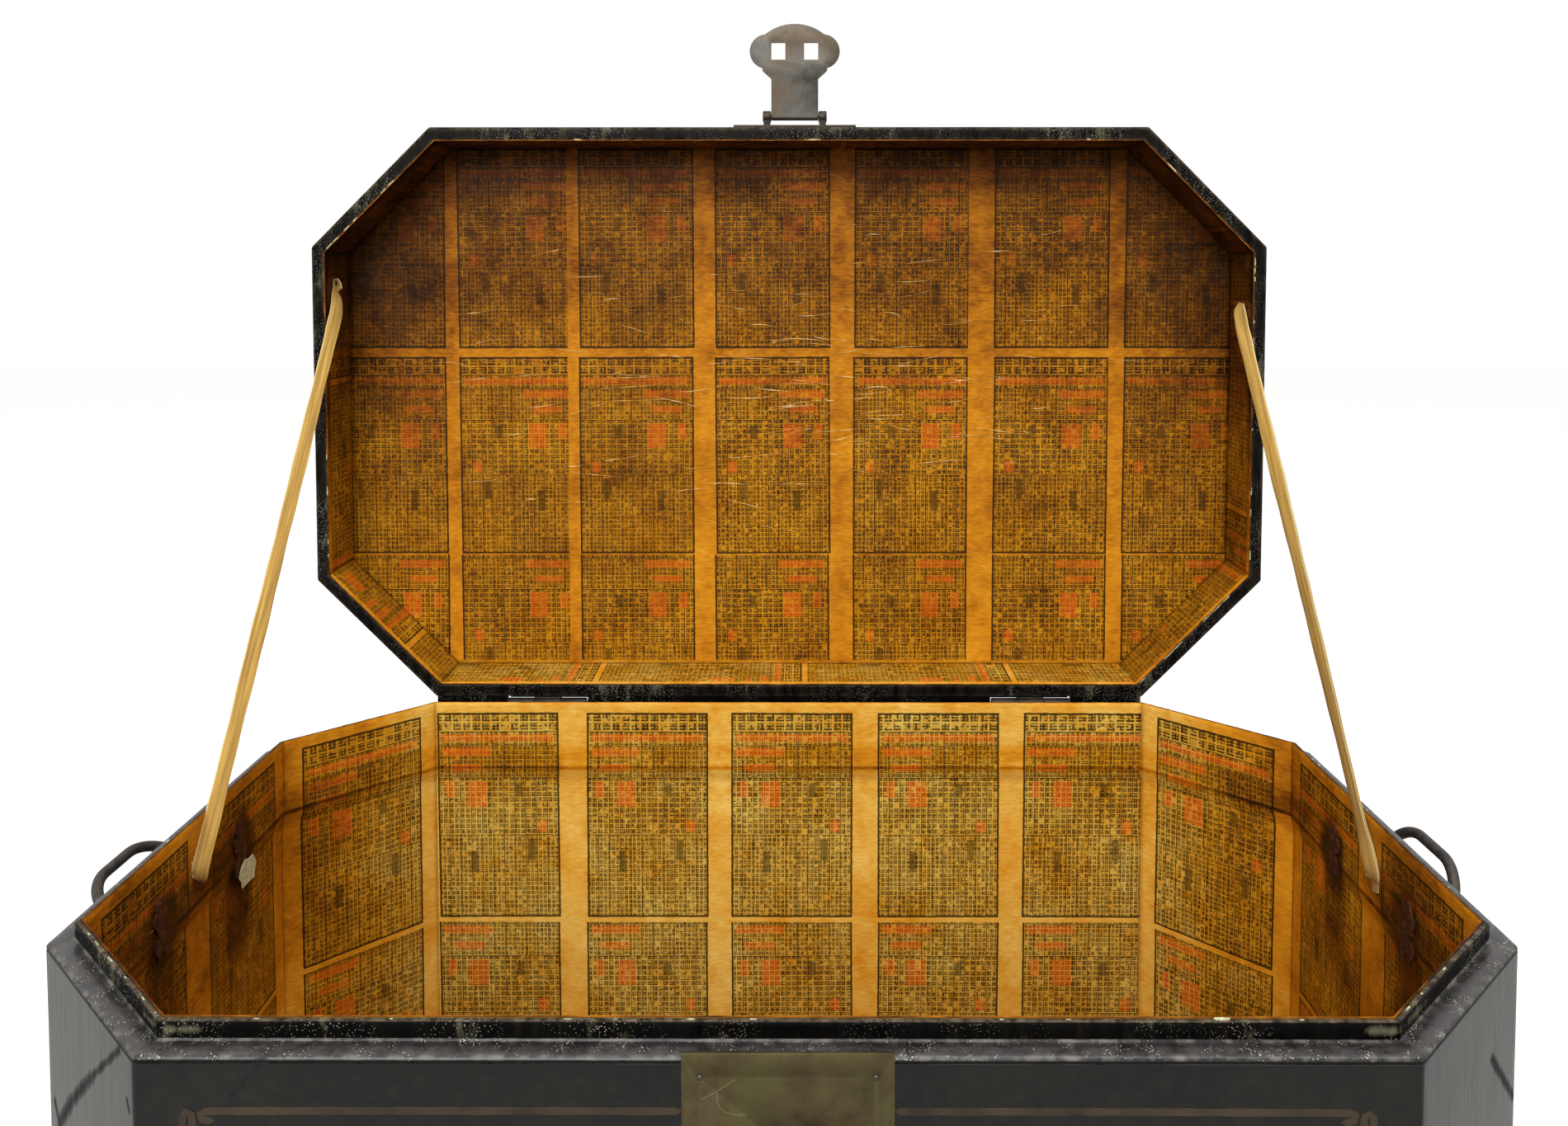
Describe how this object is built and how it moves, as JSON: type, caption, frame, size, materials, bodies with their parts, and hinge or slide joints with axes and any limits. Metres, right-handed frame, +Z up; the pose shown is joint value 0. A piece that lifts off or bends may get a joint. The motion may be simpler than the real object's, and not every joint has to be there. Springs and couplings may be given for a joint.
{
  "type": "lacquered travel trunk",
  "caption": "Lacquered wooden travel trunk with an elongated octagonal plan, a paper-lined lid hinged at the back and held open by tapes, a front hasp and an iron bail at each end.",
  "frame": {"origin": "centre of the trunk body's flat underside, where it rests on the floor", "axes": "+Z up, +X to the trunk's right as seen from the front, -Y towards the front with the lock plate; -Z is the resting face's outward normal"},
  "size_m": [0.8683, 0.5759, 0.8998],
  "materials": {
    "black_lacquer": "worn satin black lacquer on pine",
    "bare_wood": "darkened bare pine",
    "lining_paper": "varnished amber paper",
    "old_brass": "dark brown patina",
    "old_iron": "dark oxidised wrought iron",
    "cotton_tape": "yellowed woven cotton"
  },
  "bodies": {
    "body": {"bottom_board": "bare_wood", "front_wall": "black_lacquer", "front_right_wall": "black_lacquer", "right_wall": "black_lacquer", "back_right_wall": "black_lacquer", "back_wall": "black_lacquer", "back_left_wall": "black_lacquer", "left_wall": "black_lacquer", "front_left_wall": "black_lacquer", "front_lip": "black_lacquer", "front_right_lip": "black_lacquer", "right_lip": "black_lacquer", "back_right_lip": "black_lacquer", "back_lip": "black_lacquer", "back_left_lip": "black_lacquer", "left_lip": "black_lacquer", "front_left_lip": "black_lacquer", "body_wall_lining": "lining_paper", "body_floor_lining": "lining_paper", "lock_plate": "old_brass", "lock_staples": "old_brass", "lock_plate_nails": "old_brass", "left_hinge_body_leaf": "old_brass", "left_hinge_pin": "old_iron", "right_hinge_body_leaf": "old_brass", "right_hinge_pin": "old_iron", "hinge_body_nails": "old_brass", "left_bail_eyes": "old_iron", "left_bail_roses": "old_iron", "right_bail_eyes": "old_iron", "right_bail_roses": "old_iron", "left_tape": "cotton_tape", "right_tape": "cotton_tape", "tape_body_tacks": "old_iron"},
    "lid": {"lid_top_board": "black_lacquer", "lid_front_wall": "black_lacquer", "lid_front_right_wall": "black_lacquer", "lid_right_wall": "black_lacquer", "lid_back_right_wall": "black_lacquer", "lid_back_wall": "black_lacquer", "lid_back_left_wall": "black_lacquer", "lid_left_wall": "black_lacquer", "lid_front_left_wall": "black_lacquer", "lid_wall_lining": "lining_paper", "lid_top_lining": "lining_paper", "lid_plate": "old_brass", "lid_plate_nails": "old_brass", "hasp_eyes": "old_brass", "hasp_rod": "old_brass", "left_hinge_lid_leaf": "old_brass", "right_hinge_lid_leaf": "old_brass", "hinge_lid_nails": "old_brass", "tape_lid_tacks": "old_iron"},
    "hasp": {"hasp": "old_brass"},
    "left_bail": {"left_bail": "old_iron"},
    "right_bail": {"right_bail": "old_iron"}
  },
  "joints": [
    {"name": "lid_hinge", "type": "hinge", "parent": "body", "child": "lid", "pos_m": [0, 0.2473, 0.325], "axis": [1, 0, 0], "range_deg": [0, 90], "deforming": ["left_tape", "right_tape"]},
    {"name": "hasp_hinge", "type": "hinge", "parent": "lid", "child": "hasp", "pos_m": [0.005, 0.262, 0.823], "axis": [1, 0, 0], "range_deg": [-85, 90]},
    {"name": "left_bail_hinge", "type": "hinge", "parent": "body", "child": "left_bail", "pos_m": [-0.4086, 0, 0.283], "axis": [0, 1, 0], "range_deg": [-131, 61]},
    {"name": "right_bail_hinge", "type": "hinge", "parent": "body", "child": "right_bail", "pos_m": [0.4086, 0, 0.283], "axis": [0, -1, 0], "range_deg": [-162, 30]}
  ]
}
